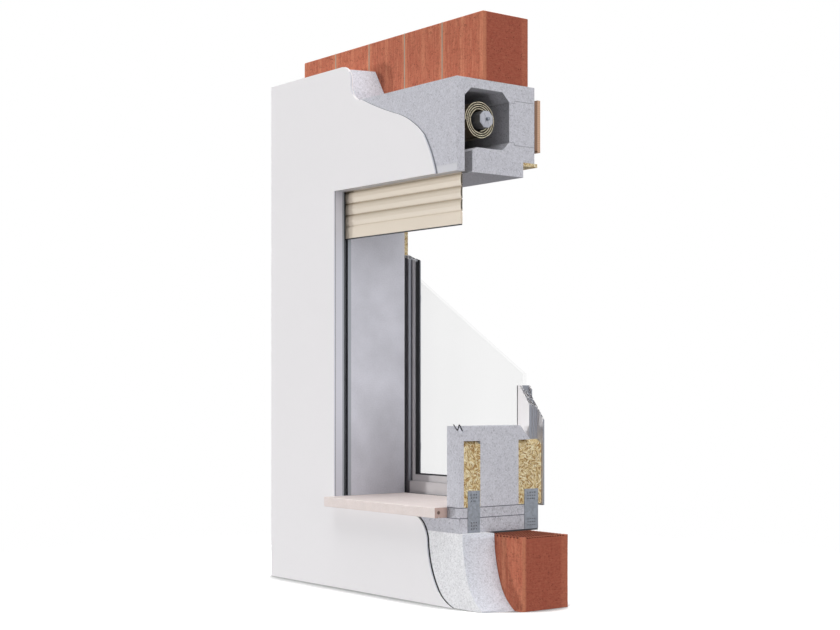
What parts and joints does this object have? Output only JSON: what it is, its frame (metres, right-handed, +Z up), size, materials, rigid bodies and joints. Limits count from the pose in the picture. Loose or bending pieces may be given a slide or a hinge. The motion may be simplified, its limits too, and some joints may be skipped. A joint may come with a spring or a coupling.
{
  "type": "roller shutter wall sample",
  "caption": "Cutaway wall sample of a roller shutter in a foam box, with its curtain on an octagonal roller, guides, insulated jambs, stone sill and a window behind.",
  "frame": {"origin": "centre of the bottom of the sample's bounding box, on the surface it stands on", "axes": "+Z up, -Y out of the facade, +X to the right of someone looking at the facade"},
  "size_m": [1.443, 0.4605, 2.128],
  "materials": {
    "clay_brick": "matte",
    "mortar": "matte",
    "insulation_foam": "matte",
    "box_foam": "matte",
    "jamb_foam": "matte",
    "reveal_skin": "matte",
    "finish_render": "matte",
    "base_render": "matte",
    "sill_stone": "satin",
    "membrane": "matte",
    "strand_board": "matte",
    "cover_wood": "matte",
    "edge_plastic": "satin",
    "galvanised_steel": "satin",
    "tube_steel": "satin",
    "motor_paint": "satin",
    "black_plastic": "satin",
    "slat_coating": "satin",
    "guide_coating": "satin",
    "brush": "matte",
    "seal_rubber": "matte",
    "frame_plastic": "satin",
    "clear_glass": "polished",
    "spacer_metal": "satin",
    "tape_foam": "matte"
  },
  "bodies": {
    "wall": {"lintel_bricks": "clay_brick", "parapet_bricks": "clay_brick", "side_wall_bricks": "clay_brick", "mortar_joints": "mortar", "side_insulation": "insulation_foam", "lintel_insulation": "insulation_foam", "parapet_insulation": "insulation_foam", "base_coat": "base_render", "finish_coat": "finish_render", "stone_sill": "sill_stone", "sill_membrane": "membrane", "subsill_blocks": "jamb_foam", "shutter_box_shell": "box_foam", "front_edge_profile": "edge_plastic", "head_batten": "strand_board", "box_end_plate": "cover_wood", "motor_bracket": "galvanised_steel", "bracket_screws": "galvanised_steel", "motor_head": "black_plastic", "motor_body": "motor_paint", "left_guide": "guide_coating", "right_guide": "guide_coating", "guide_brushes": "brush", "left_jamb_panel": "jamb_foam", "right_jamb_panel": "jamb_foam", "jamb_skins": "reveal_skin", "jamb_battens": "strand_board", "anchor_straps": "galvanised_steel", "strap_screws": "galvanised_steel", "sealing_tape": "tape_foam", "window_packer": "jamb_foam", "frame_left_stile": "frame_plastic", "frame_right_stile": "frame_plastic", "frame_bottom_rail": "frame_plastic", "hinge_frame_halves": "galvanised_steel", "hinge_pins": "galvanised_steel"},
    "roller": {"roller_tube": "tube_steel", "tube_end_cap": "black_plastic", "roller_pin": "galvanised_steel", "motor_crown": "black_plastic", "drive_wheel": "black_plastic", "roller_rings": "black_plastic", "wound_slats": "slat_coating"},
    "curtain": {"box_slats": "slat_coating"},
    "slat_1": {"slat_1": "slat_coating"},
    "slat_2": {"slat_2": "slat_coating"},
    "slat_3": {"slat_3": "slat_coating"},
    "bottom_bar": {"bottom_bar": "slat_coating", "bottom_bar_seal": "seal_rubber"},
    "inspection_plug": {"inspection_plug": "box_foam"},
    "inspection_cover": {"cover_frame": "cover_wood", "cover_board": "cover_wood"},
    "sash": {"sash_left_stile": "frame_plastic", "sash_right_stile": "frame_plastic", "sash_bottom_rail": "frame_plastic", "outer_pane": "clear_glass", "inner_pane": "clear_glass", "glazing_spacer": "spacer_metal", "glazing_gasket": "seal_rubber", "hinge_sash_halves": "galvanised_steel"}
  },
  "joints": [
    {"name": "roller_spin", "type": "hinge", "parent": "wall", "child": "roller", "pos_m": [0.5025, -0.03925, 1.74], "axis": [-1, 0, 0], "range_deg": [-150, 75]},
    {"name": "curtain_travel", "type": "slide", "parent": "wall", "child": "curtain", "axis": [0, 0, 1], "range_m": [-0.18, 0.09]},
    {"name": "slat_1_play", "type": "slide", "parent": "curtain", "child": "slat_1", "axis": [0, 0, 1], "range_m": [0, 0.004]},
    {"name": "slat_2_play", "type": "slide", "parent": "slat_1", "child": "slat_2", "axis": [0, 0, 1], "range_m": [0, 0.004]},
    {"name": "slat_3_play", "type": "slide", "parent": "slat_2", "child": "slat_3", "axis": [0, 0, 1], "range_m": [0, 0.004]},
    {"name": "bottom_bar_play", "type": "slide", "parent": "slat_3", "child": "bottom_bar", "axis": [0, 0, 1], "range_m": [0, 0.004]},
    {"name": "plug_pull", "type": "slide", "parent": "wall", "child": "inspection_plug", "axis": [0, 1, 0], "range_m": [0, 0.13]},
    {"name": "cover_lift_off", "type": "slide", "parent": "inspection_plug", "child": "inspection_cover", "axis": [0, 1, 0], "range_m": [0, 0.1]},
    {"name": "sash_swing", "type": "hinge", "parent": "wall", "child": "sash", "pos_m": [-0.2674, 0.22425, 0.524], "axis": [0, 0, 1], "range_deg": [0, 90]}
  ],
  "couplings": [
    {"joint": "curtain_travel", "follows": "roller_spin", "m_per_rad": 0.067}
  ]
}
